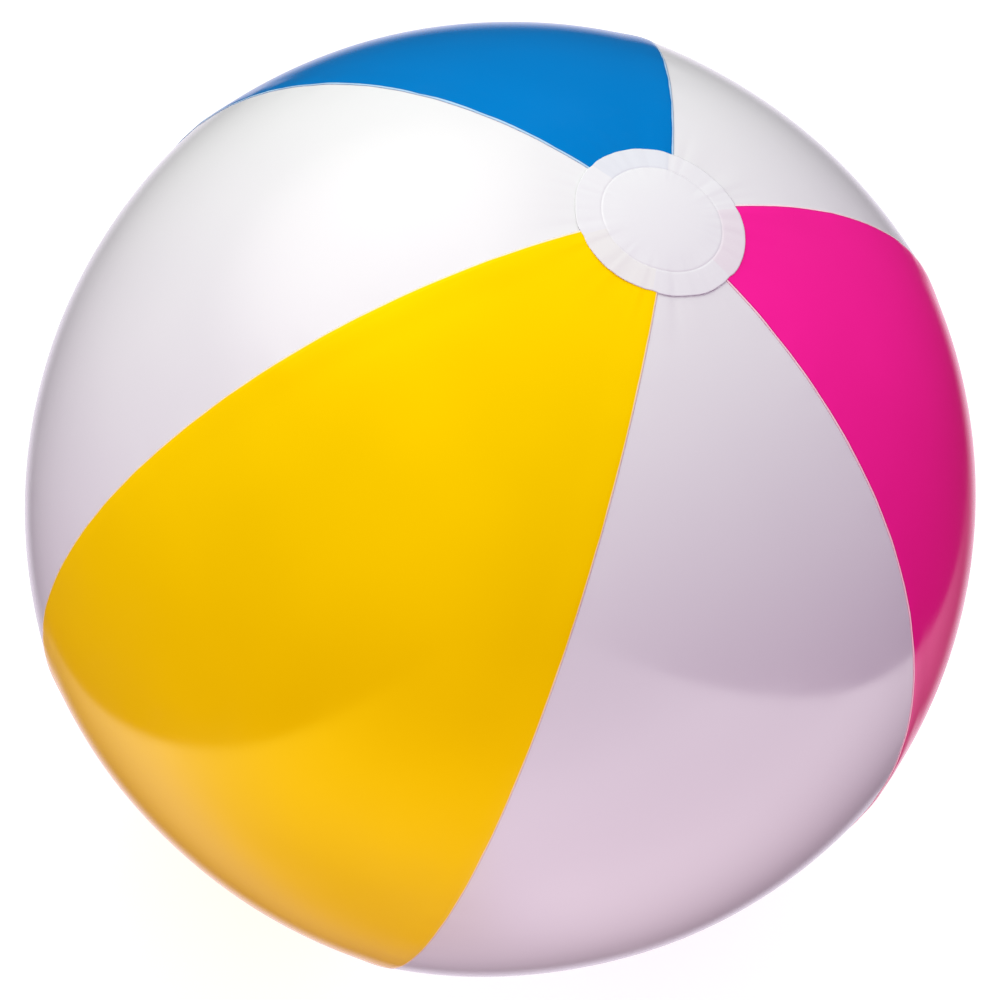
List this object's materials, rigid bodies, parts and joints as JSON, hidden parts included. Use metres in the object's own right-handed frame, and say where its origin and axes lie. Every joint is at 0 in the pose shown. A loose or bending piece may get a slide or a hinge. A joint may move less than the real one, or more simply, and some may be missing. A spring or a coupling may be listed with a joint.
{
  "type": "inflatable beach ball",
  "caption": "Round inflatable film ball with coloured and white panels, end discs at the poles and a pop-in valve with a tethered plug.",
  "frame": {"origin": "centre of the ball", "axes": "+Z along the pole axis through both end discs; the yellow panel faces -Y, the valve is in the white panel that faces +Y, 45 degrees below the equator"},
  "size_m": [0.3998, 0.3944, 0.4068],
  "materials": {
    "yellow_film": "glossy film",
    "magenta_film": "glossy film",
    "blue_film": "glossy film",
    "white_film": "glossy film",
    "end_disc_film": "milky glossy film",
    "valve_moulding": "soft milky moulding"
  },
  "bodies": {
    "ball": {"yellow_panel": "yellow_film", "magenta_panel": "magenta_film", "blue_panel": "blue_film", "white_panel_right": "white_film", "white_panel_back": "white_film", "white_panel_left": "white_film", "top_end_disc": "end_disc_film", "bottom_end_disc": "end_disc_film", "valve_flange": "valve_moulding", "valve_web": "valve_moulding"},
    "stem": {"valve_stem": "valve_moulding", "plug_strap": "valve_moulding"},
    "plug": {"valve_plug": "valve_moulding"},
    "flap": {"check_flap": "valve_moulding"}
  },
  "joints": [
    {"name": "stem_pop_out", "type": "slide", "parent": "ball", "child": "stem", "axis": [0, 0.7071, -0.7071], "range_m": [0, 0.014], "deforming": ["valve_web"]},
    {"name": "plug_pull", "type": "slide", "parent": "stem", "child": "plug", "axis": [0, 0.7071, -0.7071], "range_m": [0, 0.012], "deforming": ["plug_strap"]},
    {"name": "flap_lift", "type": "hinge", "parent": "stem", "child": "flap", "pos_m": [0, 0.13008, -0.12845], "axis": [-1, 0, 0], "range_deg": [0, 50], "stiffness_Nm_per_rad": 0.0001}
  ]
}
